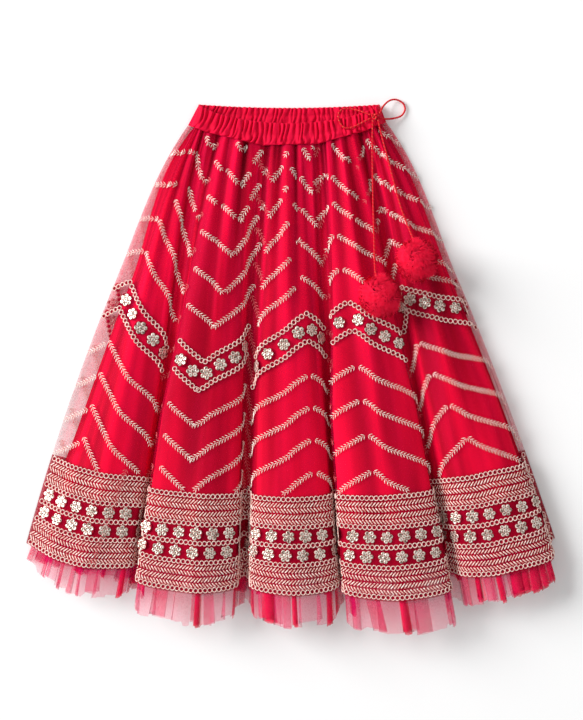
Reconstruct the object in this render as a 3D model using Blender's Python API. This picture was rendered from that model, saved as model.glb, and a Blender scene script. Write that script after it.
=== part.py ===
"""A child's flared lehenga skirt of embroidered net, laid flat on its back.

The row frame lies on the surface under the skirt: +X across the skirt, +Y towards the waist, +Z up.
Lengths in this file are millimetres until they reach Blender, which takes metres.
"""

from collections import namedtuple
from math import ceil, cos, hypot, pi, sin, sqrt

import bmesh
import bpy
from mathutils import Vector
from mathutils.bvhtree import BVHTree

MM = 0.001

# Driving sizes
PER_FOLD = 16  # spans of a front panel across each big fold
SKIRT_LENGTH = 527.0  # waist seam to border edge, along the cloth
BORDER_SHARE = 0.795  # the border starts at this share of the length
LINING_SHARE = 0.945  # the lining ends here, and the frill is sewn to it
FRILL_SHARE = 1.056  # the frill ends here, below the border
SEAM_GAP = 0.3
NET_WALL = 1.0
BORDER_WALL = 1.2
LINING_WALL = 1.0
FRILL_WALL = 1.0
BAND_WALL = 1.8
NET_GATHERS = 20
BAND_GATHERS = 36
FRILL_PLEATS = 40
NET_GATHER_RISE = 2.4
BAND_GATHER_RISE = 2.2
INNER_GATHER_RISE = 1.2
FRILL_WAVE = 1.2
FRILL_FLARE = 3.2
FRILL_HEM_WAVE = 4.8
CORD_DIAMETER = 2.4
POMPOM_RADIUS = 24.0

# The side outlines, as (x, y) at the waist seam, half way down and at the border edge
Outline = namedtuple("Outline", "waist middle hem")
NET_LEFT = Outline((-124.1, 274.9), (-232.0, 34.8), (-314.4, -216.9))
NET_RIGHT = Outline((110.2, 278.4), (216.9, 39.4), (308.6, -211.1))
LINING_LEFT = Outline((-117.0, 272.4), (-208.8, 32.5), (-306.4, -214.6))
LINING_RIGHT = Outline((103.2, 276.0), (209.5, 37.1), (301.2, -211.5))
FRONT_SAG = Outline(28.0, 41.0, 43.0)
BACK_SAG = Outline(6.4, 26.0, 36.5)

# The valleys between the big folds. Shares run from the left outline to the right one.
Valley = namedtuple("Valley", "waist_share hem_share waist_rise hem_rise drop")
SIDE_RISE = 2.8
VALLEYS = (
    Valley(0.000, 0.000, SIDE_RISE, SIDE_RISE, 0.0),
    Valley(0.094, 0.218, 13.0, 13.5, -5.0),
    Valley(0.376, 0.412, 15.0, 14.0, -2.0),
    Valley(0.653, 0.603, 15.0, 14.0, 1.0),
    Valley(0.891, 0.797, 13.0, 13.5, 10.0),
    Valley(1.000, 1.000, SIDE_RISE, SIDE_RISE, 0.0),
)
VALLEY_CURVE = 2.7

# The big folds. A tuck is how far a fold leans over its valley, as a share of its width.
Fold = namedtuple("Fold", "waist_height hem_height tuck_left tuck_right scallop")
FOLDS = (
    Fold(5.0, 24.0, 0.02, 0.13, 15.0),
    Fold(3.0, 33.0, 0.26, 0.15, 25.0),
    Fold(3.0, 35.0, 0.15, 0.13, 20.0),
    Fold(3.0, 37.0, 0.25, 0.25, 28.0),
    Fold(6.0, 34.0, 0.08, 0.19, 20.0),
)
FOLD_ROUNDNESS = 0.62
LEAN_CURVE = 1.15
SCALLOP_CURVE = 4.0

# The net and its border are the outer layer. The lining and the frill lie this far under it.
Layer = namedtuple("Layer", "left right depth")
OUTER = Layer(NET_LEFT, NET_RIGHT, 0.0)
INNER = Layer(LINING_LEFT, LINING_RIGHT, 2.2)

# The waistband's rim, as the places of its two ends, and how far it sags between them
RIM_LEFT = (-111.4, 299.3)
RIM_RIGHT = (102.1, 299.3)
RIM_FRONT_SAG = 23.5
RIM_BACK_SAG = 4.0
RIM_FRONT_RISE = 14.0
RIM_SAG_CURVE = 0.7
BAND_TIP_RISE = 4.0
BAND_TIP_RADIUS = 6.0
BAND_SIDE_RISE = 8.0

# The drawstring's route in plan, from the bow at the waist
BOW = (95.6, 284.0)
BOW_HALF = (5.2, 4.2, 3.2)
LEFT_TAIL = ((93.2, 279.6), (92.8, 250.0), (93.2, 215.0), (93.6, 180.0), (94.6, 140.0), (95.4, 101.0))
RIGHT_TAIL = ((99.3, 280.2), (104.5, 258.0), (110.5, 235.0), (117.5, 208.0), (125.0, 180.0), (132.0, 160.0), (138.4, 142.0))
LEFT_LOOP = ((90.4, 285.6), (76.0, 291.5), (62.0, 294.0), (54.0, 289.5), (53.6, 279.5), (60.0, 270.8), (70.0, 271.5), (80.0, 276.2), (90.8, 281.7))
RIGHT_LOOP = ((101.2, 286.6), (106.0, 297.0), (113.5, 304.0), (121.5, 305.5), (129.5, 301.5), (132.0, 294.0), (127.5, 286.5), (118.0, 283.0), (109.5, 281.6), (101.3, 281.8))
LEFT_POMPOM = (100.9, 73.0)
RIGHT_POMPOM = (143.5, 114.5)

# Where the table's plan lies in the row frame
PLAN_SHIFT = (2.813, 11.029)


def blend(a, b, share):
    """The value that lies this share of the way from a to b."""
    return a + (b - a) * share


def down(outline, v):
    """The quadratic through an outline's waist, middle and hem values."""
    shares = (2 * (v - 0.5) * (v - 1), -4 * v * (v - 1), 2 * v * (v - 0.5))
    if isinstance(outline.waist, tuple):
        return [sum(k * point[axis] for k, point in zip(shares, outline)) for axis in (0, 1)]
    return sum(k * value for k, value in zip(shares, outline))


def valley_place(index, v):
    """The lowest line between two folds: (x, y, z) at this share of the length."""
    valley = VALLEYS[index]
    share = blend(valley.hem_share, valley.waist_share, max(0.0, 1 - v) ** VALLEY_CURVE)
    left, right = down(NET_LEFT, v), down(NET_RIGHT, v)
    x = blend(left[0], right[0], share)
    y = blend(left[1], right[1], share) - down(FRONT_SAG, v) * 4 * share * (1 - share)
    return x, y - valley.drop * abs(v) ** SCALLOP_CURVE, blend(valley.waist_rise, valley.hem_rise, v)


def outer_place(s, v):
    """The outer side of the front. s counts the folds from the left side to the right one."""
    index = min(int(s), len(FOLDS) - 1)
    t = s - index
    fold = FOLDS[index]
    start, end = valley_place(index, v), valley_place(index + 1, v)
    width = hypot(end[0] - start[0], end[1] - start[1])
    tuck = -fold.tuck_left if t < 0.5 else fold.tuck_right
    lean = tuck * width * min(1.0, v * 1.6) * (sin(2 * pi * t) ** 2) ** LEAN_CURVE
    height = blend(fold.waist_height, fold.hem_height, max(0.0, min(v, 1.0)) ** 0.9)
    rise = height * (sin(pi * t) ** 2) ** FOLD_ROUNDNESS
    x = blend(start[0], end[0], t) + lean
    y = blend(start[1], end[1], t) - fold.scallop * abs(v) ** SCALLOP_CURVE * sin(pi * t)
    return Vector((x, y, blend(start[2], end[2], t) + rise))


def front_normal(s, v):
    """The direction that faces out of the front at a point. It is upright at the two sides."""
    step = 0.012
    last = len(FOLDS)
    if s in (0, last):
        return Vector((0.0, 0.0, 1.0))
    across = outer_place(min(last, s + step), v) - outer_place(max(0.0, s - step), v)
    along = outer_place(s, v - step) - outer_place(s, v + step)
    return across.cross(along).normalized()


def front_place(layer, s, v):
    """A point of the outer side of a front layer."""
    place = outer_place(s, v)
    if layer is OUTER:
        return place
    from_left, from_right = s, len(FOLDS) - s
    ease = min(1.0, from_left / 0.15, from_right / 0.15)
    place -= front_normal(s, v) * layer.depth * ease
    place.z += LINING_WALL * (1 - ease)
    to_left = Vector(down(layer.left, v)) - Vector(down(OUTER.left, v))
    to_right = Vector(down(layer.right, v)) - Vector(down(OUTER.right, v))
    place.xy += to_left * max(0.0, 1 - from_left * 2) ** 1.5
    place.xy += to_right * max(0.0, 1 - from_right * 2) ** 1.5
    return place


def back_place(layer, share, v, z):
    """A point of a flat back layer, at this share from the left outline to the right one."""
    left, right = down(layer.left, v), down(layer.right, v)
    x = blend(left[0], right[0], share)
    y = blend(left[1], right[1], share) - down(BACK_SAG, v) * 4 * share * (1 - share)
    return Vector((x, y, z))


def gather(share, count, rise):
    """The height of a row of gathers above the troughs between them."""
    return rise * (0.5 - 0.5 * cos(2 * pi * count * share))


def even(count):
    """Shares from 0 to 1, both ends included."""
    return [i / count for i in range(count + 1)]


def between(start, end, shares):
    """The levels at these shares of the way from start to end."""
    return [blend(start, end, share) for share in shares]


def material(name, colour, roughness, metallic=0.0):
    """A Principled material of one colour."""
    made = bpy.data.materials.new(name)
    made.use_nodes = True
    shader = made.node_tree.nodes["Principled BSDF"]
    shader.inputs["Base Color"].default_value = (*colour, 1.0)
    shader.inputs["Roughness"].default_value = roughness
    shader.inputs["Metallic"].default_value = metallic
    return made


def place_in_frame(point):
    """Millimetres of the plan to metres of the row frame."""
    x, y, z = point
    return ((x + PLAN_SHIFT[0]) * MM, (y + PLAN_SHIFT[1]) * MM, z * MM)


def wall(name, outer, inner, finish, collection, ring=False):
    """A closed wall between two nets of points. A ring's last column meets its first."""
    rows, columns = len(outer), len(outer[0])
    points = [place_in_frame(p) for side in (outer, inner) for row in side for p in row]
    inside = rows * columns
    spans = columns if ring else columns - 1
    faces = []
    for r in range(rows - 1):
        for c in range(spans):
            d = (c + 1) % columns
            a, b = r * columns + c, r * columns + d
            below_a, below_b = a + columns, b + columns
            faces.append((a, below_a, below_b, b))
            faces.append((a + inside, b + inside, below_b + inside, below_a + inside))
    last = (rows - 1) * columns
    for c in range(spans):
        d = (c + 1) % columns
        faces.append((c, d, d + inside, c + inside))
        faces.append((last + c, last + c + inside, last + d + inside, last + d))
    if not ring:
        for r in range(rows - 1):
            left, right = r * columns, r * columns + columns - 1
            faces.append((left, left + inside, left + columns + inside, left + columns))
            faces.append((right, right + columns, right + columns + inside, right + inside))
    mesh = bpy.data.meshes.new(name)
    mesh.from_pydata(points, [], faces)
    mesh.materials.append(finish)
    mesh.validate()
    made = bpy.data.objects.new(name, mesh)
    collection.objects.link(made)
    return made


def front_columns(per_fold):
    """Pairs of a share of the front and its s. The columns are closer together in the valleys."""
    columns = []
    for i in range(per_fold * len(FOLDS) + 1):
        fold, t = divmod(i / per_fold, 1)
        columns.append((i / per_fold / len(FOLDS), fold + t - 0.45 * sin(2 * pi * t) / (2 * pi)))
    return columns


def side_ease(share, steepness):
    """0 at the two sides of a row and 1 a little way in."""
    return min(1.0, steepness * share, steepness * (1 - share))


def front_panel(name, layer, levels, thickness, finish, collection, gathers=0):
    """A front layer between two levels, with gathers that die away below the waist."""
    outer, inner = [], []
    for v in levels:
        gathered = NET_GATHER_RISE * max(0.0, 1 - v / 0.42) ** 1.3
        outer_row, inner_row = [], []
        for share, s in front_columns(PER_FOLD):
            place, normal = front_place(layer, s, v), front_normal(s, v)
            raised = gather(share, gathers, gathered) * side_ease(share, 6)
            outer_row.append(place + normal * raised)
            inner_row.append(place + normal * (raised - thickness))
        outer.append(outer_row)
        inner.append(inner_row)
    return wall(name, outer, inner, finish, collection)


def back_panel(name, layer, levels, low, thickness, finish, collection):
    """A flat back layer between two levels."""
    shares = even(24)
    upper = [[back_place(layer, share, v, low + thickness) for share in shares] for v in levels]
    under = [[back_place(layer, share, v, low) for share in shares] for v in levels]
    return wall(name, upper, under, finish, collection)


def frill_end(share):
    """How far down the frill reaches. It is shorter at the sides, and uneven from pleat to pleat."""
    pleat = int(share * FRILL_PLEATS)
    uneven = 0.004 * sin(2.4 * pleat) + 0.003 * cos(5.1 * pleat)
    return FRILL_SHARE + uneven - 0.014 * abs(2 * share - 1) ** 6


def frill_front(finish, collection):
    """The pleated net frill under the front of the border. Its top edge follows the lining's."""
    columns = front_columns(2 * PER_FOLD)
    start = LINING_SHARE + 2 * SEAM_GAP / SKIRT_LENGTH
    seam = [(front_place(INNER, s, start), front_normal(s, start)) for share, s in columns]
    outer = [[place for place, normal in seam]]
    inner = [[place - normal * LINING_WALL for place, normal in seam]]
    for row in (outer[0], inner[0]):
        row[1::2] = [(a + b) / 2 for a, b in zip(row[::2], row[2::2])]
    for step in (0.45, 1.0):
        outer_row, inner_row = [], []
        for share, s in columns:
            v = blend(start, frill_end(share), step)
            place, normal = front_place(INNER, s, v), front_normal(s, v)
            wave = gather(share, FRILL_PLEATS, -2 * FRILL_WAVE)
            if step == 1.0:
                wave = FRILL_FLARE + gather(share, FRILL_PLEATS, -FRILL_HEM_WAVE)
            wave *= side_ease(share, 9)
            outer_row.append(place + normal * wave)
            inner_row.append(place + normal * (wave - FRILL_WALL))
        outer.append(outer_row)
        inner.append(inner_row)
    return wall("frill_front", outer, inner, finish, collection)


def frill_back(finish, collection):
    """The pleated net frill inside the back of the border."""
    upper, under = [], []
    low = BORDER_WALL + SEAM_GAP
    for step in (0.0, 0.45, 1.0):
        upper_row, under_row = [], []
        for share in even(4 * FRILL_PLEATS):
            v = blend(LINING_SHARE + SEAM_GAP / SKIRT_LENGTH, frill_end(share) - 0.012, step)
            wave = gather(share, FRILL_PLEATS, 2 * FRILL_WAVE) * side_ease(share, 9) * min(1.0, step * 3)
            under_row.append(back_place(INNER, share, v, low + wave))
            upper_row.append(back_place(INNER, share, v, low + wave + FRILL_WALL))
        upper.append(upper_row)
        under.append(under_row)
    return wall("frill_back", upper, under, finish, collection)


def band_side(level, inset, right):
    """An end of the waistband at this level, 0 at the rim and 1 at the seam."""
    rim, seam = (RIM_RIGHT, NET_RIGHT.waist) if right else (RIM_LEFT, NET_LEFT.waist)
    x = blend(rim[0], seam[0], level) + (-inset if right else inset)
    return x, blend(rim[1], seam[1], level)


def band_ease(x, left, right, radius):
    """0 at an end of the band and 1 past its rounded tip."""
    near = min(1.0, min(x - left, right - x) / radius)
    return sqrt(max(0.0, 1 - (1 - near) ** 2))


def band_place(level, share, front, inset):
    """A point of the waistband. inset is 0 outside and the wall's thickness inside."""
    left, right = band_side(level, inset, False), band_side(level, inset, True)
    x = blend(left[0], right[0], share)
    arch = 4 * share * (1 - share)
    ease = band_ease(x, left[0], right[0], BAND_TIP_RADIUS - inset)
    wave = min(1.0, 8 * arch)
    if front:
        seam = outer_place(spread_to_fold(x), 0.0)
        sag = RIM_FRONT_SAG * arch**RIM_SAG_CURVE
        y = blend(blend(left[1], right[1], share) - sag, seam.y + SEAM_GAP, level)
        top = max(BAND_SIDE_RISE, blend(RIM_FRONT_RISE, seam.z, level))
        z = blend(BAND_TIP_RISE, top - inset, ease) + gather(share, BAND_GATHERS, BAND_GATHER_RISE) * wave
    else:
        sag = blend(RIM_BACK_SAG, BACK_SAG.waist, level) * arch
        y = blend(left[1], right[1], share) - sag + SEAM_GAP * level
        z = blend(BAND_TIP_RISE, inset, ease)
        z += gather(share, BAND_GATHERS, INNER_GATHER_RISE) * wave * (inset > 0)
    return Vector((x, y, z))


def spread_to_fold(x):
    """The s of front_place whose waist point has this x."""
    places = [valley_place(i, 0.0)[0] for i in range(len(VALLEYS))]
    if x <= places[0]:
        return 0.0
    for i, (a, b) in enumerate(zip(places, places[1:])):
        if x <= b:
            return i + (x - a) / (b - a)
    return float(len(FOLDS))


def waistband(finish, collection):
    """The gathered casing of the elastic, one strip all round with its rim open."""
    shares = even(4 * BAND_GATHERS)
    tips = (0.0, 0.003, 0.012)
    front = [*tips, *shares[4:-4], *(1 - t for t in reversed(tips))]
    columns = [(share, True) for share in front] + [(share, False) for share in reversed(front[1:-1])]
    levels = (0.0, 0.5, 1.0)
    outer = [[band_place(level, share, side, 0.0) for share, side in columns] for level in levels]
    inner = [[band_place(level, share, side, BAND_WALL) for share, side in columns] for level in levels]
    return wall("waistband", outer, inner, finish, collection, ring=True)


def smooth_route(points, spacing):
    """A Catmull-Rom curve through the points, with about this spacing."""
    ends = [2 * points[0] - points[1], *points, 2 * points[-1] - points[-2]]
    route = []
    for a, b, c, d in zip(ends, ends[1:], ends[2:], ends[3:]):
        count = max(2, ceil((c - b).length / spacing))
        for i in range(count):
            t = i / count
            pull = (c - a) * t + (2 * a - 5 * b + 4 * c - d) * t**2 + (3 * b - a - 3 * c + d) * t**3
            route.append(b + 0.5 * pull)
    return [*route, points[-1]]


class Ground:
    """The upper side of what the drawstring lies on."""

    def __init__(self, objects):
        graph = bpy.context.evaluated_depsgraph_get()
        self.trees = [BVHTree.FromObject(o, graph) for o in objects]

    def height(self, x, y, around):
        """The greatest height near a place of the plan, or 0 beside the skirt."""
        highest = 0.0
        for step in range(9):
            reach = 0.0 if step == 8 else around
            turn = step * pi / 4
            start = place_in_frame((x + reach * cos(turn), y + reach * sin(turn), 200.0))
            for tree in self.trees:
                hit = tree.ray_cast(Vector(start), Vector((0.0, 0.0, -1.0)))[0]
                if hit is not None:
                    highest = max(highest, hit.z / MM)
        return highest


def lying_route(plan, ground, start_z, end_z):
    """A smooth route that lies on the ground under its plan and bridges its hollows."""
    route = smooth_route([Vector((x, y, 0.0)) for x, y in plan], 2.2 * CORD_DIAMETER)
    clearance = CORD_DIAMETER / 2 + SEAM_GAP
    floors = [ground.height(place.x, place.y, 3.0) + clearance for place in route]
    floors[0] = start_z
    floors[-2:] = [end_z, end_z]
    heights = list(floors)
    for _ in range(8):
        for i in range(1, len(route) - 1):
            heights[i] = max(floors[i], (heights[i - 1] + heights[i + 1]) / 2)
    return [Vector((place.x, place.y, height)) for place, height in zip(route, heights)]


def cord(name, route, finish, collection):
    """A round cord along a smooth route."""
    curve = bpy.data.curves.new(name, "CURVE")
    curve.dimensions = "3D"
    curve.bevel_depth = CORD_DIAMETER / 2 * MM
    curve.bevel_resolution = 2
    curve.use_fill_caps = True
    spline = curve.splines.new("POLY")
    spline.points.add(len(route) - 1)
    for point, place in zip(spline.points, route):
        point.co = (*place_in_frame(place), 1.0)
    curve.materials.append(finish)
    made = bpy.data.objects.new(name, curve)
    collection.objects.link(made)
    return made


def bow_knot(ground, finish, collection):
    """The knot of the bow, lying on the waistband."""
    low = ground.height(*BOW, 5.0) + SEAM_GAP
    bpy.ops.mesh.primitive_uv_sphere_add(segments=14, ring_count=8, radius=MM)
    made = bpy.context.object
    made.name = made.data.name = "bow_knot"
    made.location = place_in_frame((*BOW, low + BOW_HALF[2]))
    made.scale = BOW_HALF
    made.data.materials.append(finish)
    for owner in made.users_collection:
        owner.objects.unlink(made)
    collection.objects.link(made)
    return low + BOW_HALF[2]


def pompom(name, plan, ground, finish, collection):
    """A net pompom: a soft ball with a lock of net standing on each of its faces."""
    low = ground.height(*plan, POMPOM_RADIUS * 0.55) + SEAM_GAP
    core, flat = POMPOM_RADIUS * 0.72, 0.74
    mesh = bpy.data.meshes.new(name)
    ball = bmesh.new()
    bmesh.ops.create_icosphere(ball, subdivisions=2, radius=core)
    bmesh.ops.inset_individual(ball, faces=ball.faces[:], thickness=core * 0.05)
    tops = [f for f in ball.faces if len(f.verts) == 3]
    locks = bmesh.ops.extrude_discrete_faces(ball, faces=tops)["faces"]
    for number, lock in enumerate(locks):
        longer = POMPOM_RADIUS * (0.94 + 0.06 * sin(number * 2.4)) / lock.calc_center_median().length
        middle = lock.calc_center_median() * longer
        for corner in lock.verts:
            corner.co = middle + (corner.co * longer - middle) * 0.55
    bottom = min(v.co.z for v in ball.verts) * flat
    middle = Vector((*plan, low - bottom))
    for corner in ball.verts:
        corner.co = place_in_frame(middle + Vector((corner.co.x, corner.co.y, corner.co.z * flat)))
    bmesh.ops.recalc_face_normals(ball, faces=ball.faces[:])
    ball.to_mesh(mesh)
    ball.free()
    mesh.materials.append(finish)
    made = bpy.data.objects.new(name, mesh)
    collection.objects.link(made)
    return made, middle


def touching(start, made, middle):
    """The end of a cord that starts at a place of the plan and runs level up to a pompom."""
    tree = BVHTree.FromObject(made, bpy.context.evaluated_depsgraph_get())
    heading = Vector((middle.x - start[0], middle.y - start[1], 0.0)).normalized()
    sideways = heading.cross(Vector((0.0, 0.0, 1.0)))
    gaps = []
    for turn in even(8):
        around = sideways * cos(2 * pi * turn) + Vector((0.0, 0.0, sin(2 * pi * turn)))
        begin = Vector((*start, middle.z)) + around * CORD_DIAMETER * 0.6
        hit = tree.ray_cast(Vector(place_in_frame(begin)), heading)[3]
        gaps.append(POMPOM_RADIUS if hit is None else hit / MM)
    end = Vector((*start, middle.z)) + heading * (min(gaps) - SEAM_GAP)
    return end.x, end.y


def clear_scene():
    """Removes what the start-up file holds."""
    for item in list(bpy.data.objects):
        bpy.data.objects.remove(item, do_unlink=True)


def main():
    clear_scene()
    skirt = bpy.data.collections.new("lehenga_skirt")
    bpy.context.scene.collection.children.link(skirt)
    net = material("net", (0.62, 0.012, 0.055), 0.7)
    zari = material("border", (0.62, 0.27, 0.19), 0.55)
    satin = material("lining", (0.58, 0.004, 0.035), 0.45)
    tulle = material("frill", (0.75, 0.06, 0.14), 0.8)
    band = material("waistband", (0.68, 0.008, 0.05), 0.5)
    string = material("drawstring", (0.6, 0.09, 0.05), 0.55)
    fluff = material("pompom", (0.85, 0.012, 0.03), 0.85)

    seam = SEAM_GAP / 2 / SKIRT_LENGTH
    net_levels = between(0.0, BORDER_SHARE - seam, (0.0, 0.09, 0.22, 0.42, 0.68, 1.0))
    border_levels = between(BORDER_SHARE + seam, 1.0, (0.0, 0.5, 1.0))
    lining_levels = between(0.0, LINING_SHARE, (0.0, 0.12, 0.32, 0.6, 0.82, 1.0))
    lining_low = BORDER_WALL + SEAM_GAP

    made = [
        front_panel("net_front", OUTER, net_levels, NET_WALL, net, skirt, NET_GATHERS),
        front_panel("border_front", OUTER, border_levels, BORDER_WALL, zari, skirt),
        waistband(band, skirt),
    ]
    front_panel("lining_front", INNER, lining_levels, LINING_WALL, satin, skirt)
    back_panel("net_back", OUTER, net_levels, 0.0, NET_WALL, net, skirt)
    back_panel("border_back", OUTER, border_levels, 0.0, BORDER_WALL, zari, skirt)
    back_panel("lining_back", INNER, lining_levels, lining_low, LINING_WALL, satin, skirt)
    frill_front(tulle, skirt)
    frill_back(tulle, skirt)

    ground = Ground(made)
    knot = bow_knot(ground, string, skirt)
    left = pompom("pompom_left", LEFT_POMPOM, ground, fluff, skirt)
    right = pompom("pompom_right", RIGHT_POMPOM, ground, fluff, skirt)
    for name, plan, (ball, middle) in (
        ("cord_tail_left", LEFT_TAIL, left),
        ("cord_tail_right", RIGHT_TAIL, right),
    ):
        plan = (*plan, touching(plan[-1], ball, middle))
        cord(name, lying_route(plan, ground, knot, middle.z), string, skirt)
    for name, plan in (("cord_loop_left", LEFT_LOOP), ("cord_loop_right", RIGHT_LOOP)):
        cord(name, lying_route(plan, ground, knot, knot), string, skirt)


main()
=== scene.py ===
"""A child's lehenga skirt of embroidered net, laid flat and photographed from above."""

import bpy
import numpy as np
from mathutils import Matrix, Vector
from mathutils.bvhtree import BVHTree


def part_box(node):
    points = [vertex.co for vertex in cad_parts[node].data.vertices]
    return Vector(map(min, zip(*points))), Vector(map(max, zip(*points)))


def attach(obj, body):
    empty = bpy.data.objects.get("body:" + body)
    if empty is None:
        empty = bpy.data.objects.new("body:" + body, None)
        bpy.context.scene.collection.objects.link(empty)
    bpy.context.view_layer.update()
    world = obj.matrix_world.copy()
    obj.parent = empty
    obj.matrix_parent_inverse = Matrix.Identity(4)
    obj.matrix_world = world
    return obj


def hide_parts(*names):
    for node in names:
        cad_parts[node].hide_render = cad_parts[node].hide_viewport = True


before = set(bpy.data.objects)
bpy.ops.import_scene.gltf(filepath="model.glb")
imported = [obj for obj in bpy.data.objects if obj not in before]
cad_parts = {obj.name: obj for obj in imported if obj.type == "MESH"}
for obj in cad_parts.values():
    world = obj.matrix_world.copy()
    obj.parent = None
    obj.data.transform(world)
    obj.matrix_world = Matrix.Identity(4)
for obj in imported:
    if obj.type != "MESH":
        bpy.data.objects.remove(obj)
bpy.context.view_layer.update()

MM = 0.001
PI = np.pi
FOLDS = 5
PLAN_SHIFT = np.array([2.813, 11.029, 0.0])  # from the CAD's own origin to the frame's

# The camera, straight above the skirt as in the photograph
SCALE = 1.17  # millimetres a pixel, at SCALE_HEIGHT above the floor
PHOTO_ROWS, SENSOR, CAMERA_HEIGHT, SCALE_HEIGHT = 720, 24.0, 2400.0, 20.0
cam_data = bpy.data.cameras.new("camera")
cam = bpy.data.objects.new("camera", cam_data)
bpy.context.scene.collection.objects.link(cam)
cam.location = (0.98 * MM, 9.8 * MM, CAMERA_HEIGHT * MM)
cam_data.sensor_fit = "VERTICAL"
cam_data.sensor_height = SENSOR
cam_data.lens = SENSOR * (CAMERA_HEIGHT - SCALE_HEIGHT) / (PHOTO_ROWS * SCALE)
cam_data.clip_end = 20.0
bpy.context.scene.camera = cam

# The skirt's form, in the CAD's own sizes (millimetres). Each side edge is given as x and y at the waist,
# the middle and the hem. A sag is how far the waist, middle and hem curve down between their ends.
NET_LEFT = np.array([(-124.1, 274.9), (-232.0, 34.8), (-314.4, -216.9)])
NET_RIGHT = np.array([(110.2, 278.4), (216.9, 39.4), (308.6, -211.1)])
LINING_LEFT = np.array([(-117.0, 272.4), (-208.8, 32.5), (-306.4, -214.6)])
LINING_RIGHT = np.array([(103.2, 276.0), (209.5, 37.1), (301.2, -211.5)])
FRONT_SAG = np.array([28.0, 41.0, 43.0])
BACK_SAG = np.array([6.4, 26.0, 36.5])
# where the border starts and the lining and the frill end, as shares of the length
BORDER, LINING_END, FRILL_END = 0.795, 0.945, 1.056
# The valleys between the folds: waist_share, hem_share, waist_rise, hem_rise, drop
VALLEYS = np.array([
    (0.000, 0.000, 2.8, 2.8, 0.0),
    (0.094, 0.218, 13.0, 13.5, -5.0),
    (0.376, 0.412, 15.0, 14.0, -2.0),
    (0.653, 0.603, 15.0, 14.0, 1.0),
    (0.891, 0.797, 13.0, 13.5, 10.0),
    (1.000, 1.000, 2.8, 2.8, 0.0),
])
# The folds: waist_height, hem_height, tuck_left, tuck_right, scallop
FOLD_TABLE = np.array([
    (5.0, 24.0, 0.02, 0.13, 15.0),
    (3.0, 33.0, 0.26, 0.15, 25.0),
    (3.0, 35.0, 0.15, 0.13, 20.0),
    (3.0, 37.0, 0.25, 0.25, 28.0),
    (6.0, 34.0, 0.08, 0.19, 20.0),
])
VALLEY_BEND, HEIGHT_BEND, ROUNDNESS, TUCK_SHARPNESS, DROP_POWER = 2.7, 0.9, 0.62, 1.15, 4
HIP_SWELL, HIP_END = (-5.0, 6.5), 0.38  # left and right, and where it ends
INNER_DEPTH = 2.2  # the lining below the net
LOWEST_NET, LOWEST_LINING, LOWEST_FRILL, LOWEST_STITCH = 2.8, 2.45, 0.5, 0.1
BACK_NET_Z, BACK_LINING_Z, BACK_FRILL_Z = 0.95, 2.1, 4.4
SEAM_GAP = 0.0003  # between the net's and the border's edges, as a share of the length
SHEET_MAP = "OFBake"
rng = np.random.default_rng(11)


def down(values, v):
    """The quadratic through the values at the waist, the middle and the hem."""
    shares = (2 * (v - 0.5) * (v - 1), -4 * v * (v - 1), 2 * v * (v - 0.5))
    return sum(np.multiply.outer(share, value) for share, value in zip(shares, values))


def hip(v):
    """1 where the hips stand out most beside the straight edge, 0 at the waist and past HIP_END."""
    share = np.clip(v / HIP_END, 0, 1)
    return 27 / 4 * share * (1 - share) ** 2


def valley(index, v):
    row = VALLEYS[index]
    share = row[..., 1] + (row[..., 0] - row[..., 1]) * np.clip(1 - v, 0, None) ** VALLEY_BEND
    left, right = down(NET_LEFT, v), down(NET_RIGHT, v)
    place = left + (right - left) * share[..., None]
    y = place[..., 1] - down(FRONT_SAG, v) * 4 * share * (1 - share) - row[..., 4] * np.abs(v) ** DROP_POWER
    swell = np.where(index == 0, HIP_SWELL[0], np.where(index == FOLDS, HIP_SWELL[1], 0.0))
    x = place[..., 0] + swell * hip(v)
    return np.stack([x, y, row[..., 2] + (row[..., 3] - row[..., 2]) * v], -1)


def outer(s, v):
    """The CAD's front surface. s counts the folds from the left, v goes from the waist to the hem."""
    s, v = np.broadcast_arrays(np.asarray(s, float), np.asarray(v, float))
    index = np.minimum(s.astype(int), FOLDS - 1)
    t = s - index
    start, end = valley(index, v), valley(index + 1, v)
    width = np.hypot(end[..., 0] - start[..., 0], end[..., 1] - start[..., 1])
    row = FOLD_TABLE[index]
    tuck = np.where(t < 0.5, -row[..., 2], row[..., 3])
    lean = tuck * width * np.minimum(1.0, v * 1.6) * (np.sin(2 * PI * t) ** 2) ** TUCK_SHARPNESS
    height = row[..., 0] + (row[..., 1] - row[..., 0]) * np.clip(v, 0, 1) ** HEIGHT_BEND
    rise = height * (np.sin(PI * t) ** 2) ** ROUNDNESS
    place = start + (end - start) * t[..., None]
    place[..., 0] += lean
    place[..., 1] -= row[..., 4] * np.abs(v) ** DROP_POWER * np.sin(PI * t)
    place[..., 2] += rise
    return place


def unit(vectors):
    return vectors / np.maximum(np.linalg.norm(vectors, axis=-1, keepdims=True), 1e-9)


def normals_of(surface, s, v, step):
    s, v = np.broadcast_arrays(np.asarray(s, float), np.asarray(v, float))
    across = surface(np.minimum(FOLDS, s + step), v) - surface(np.maximum(0, s - step), v)
    along = surface(s, v - step) - surface(s, v + step)
    return unit(np.cross(across, along))


def cad_normal(s, v):
    normal = normals_of(outer, s, v, 0.012)
    side = (np.broadcast_to(s, normal.shape[:-1]) <= 0) | (np.broadcast_to(s, normal.shape[:-1]) >= FOLDS)
    normal[side] = (0.0, 0.0, 1.0)
    return normal


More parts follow.
